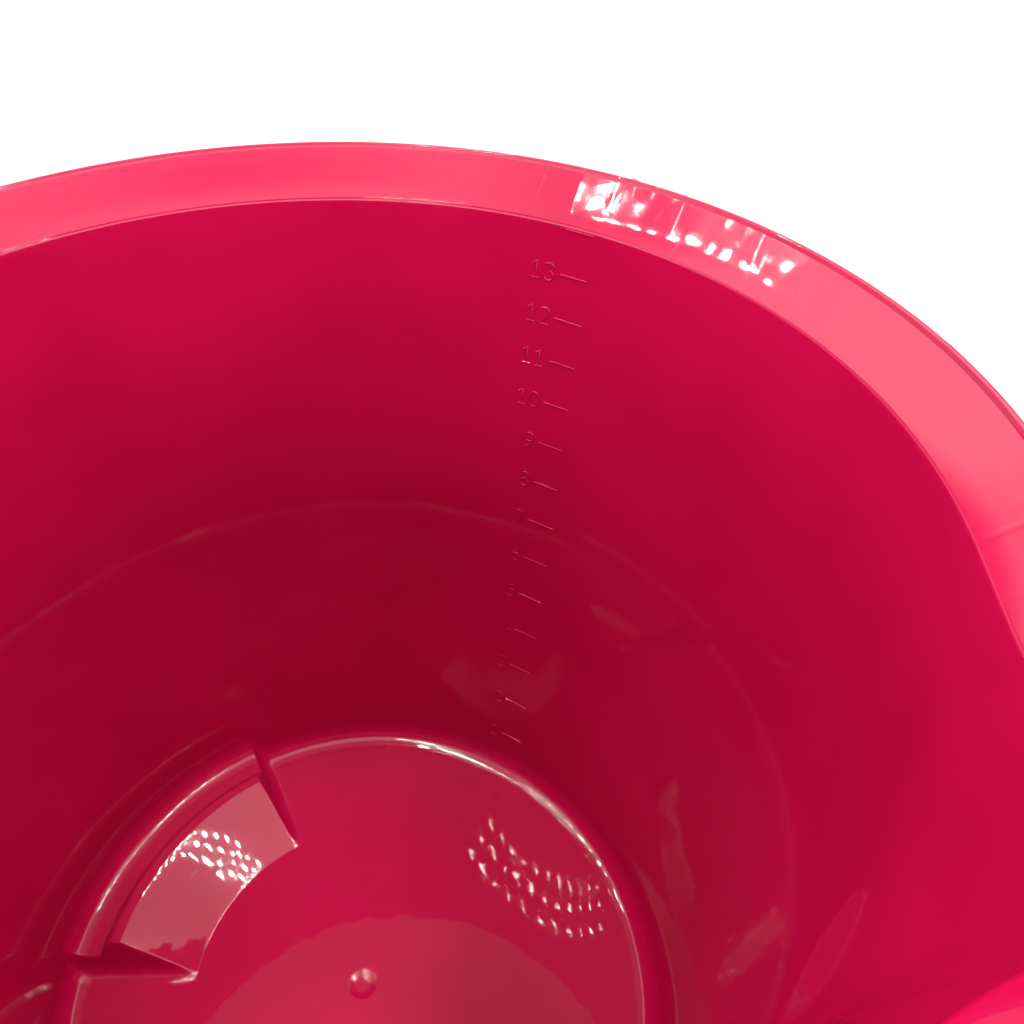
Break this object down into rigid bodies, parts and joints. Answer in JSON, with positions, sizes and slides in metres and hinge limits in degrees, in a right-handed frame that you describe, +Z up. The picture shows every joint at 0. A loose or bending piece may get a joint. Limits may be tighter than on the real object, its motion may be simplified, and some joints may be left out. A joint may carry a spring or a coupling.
{
  "type": "wash bucket",
  "caption": "Tapered round bucket with a flared collar, pouring spout, litre scale and base finger recess, carried by a swinging wire bail with a turning grip.",
  "frame": {"origin": "centre of the foot ring, on the plane the bucket stands on", "axes": "+Z up the bucket's axis, +X towards the pouring spout, +Y towards the ear above the litre scale"},
  "size_m": [0.3401, 0.3464, 0.2817],
  "materials": {
    "shell_plastic": "glossy injection-moulded polypropylene, crimson",
    "wire_steel": "bright zinc-plated drawn wire",
    "grip_plastic": "satin black moulded polypropylene"
  },
  "bodies": {
    "bucket": {"bucket_shell": "shell_plastic"},
    "bail": {"bail_wire": "wire_steel"},
    "grip": {"handle_grip": "grip_plastic"}
  },
  "joints": [
    {"name": "bail_swing", "type": "hinge", "parent": "bucket", "child": "bail", "pos_m": [0, 0, 0.256], "axis": [0, 1, 0], "range_deg": [0, 268.8]},
    {"name": "grip_spin", "type": "hinge", "parent": "bail", "child": "grip", "pos_m": [-0.14285, 0, 0.11602], "axis": [0, 1, 0], "continuous": true}
  ]
}
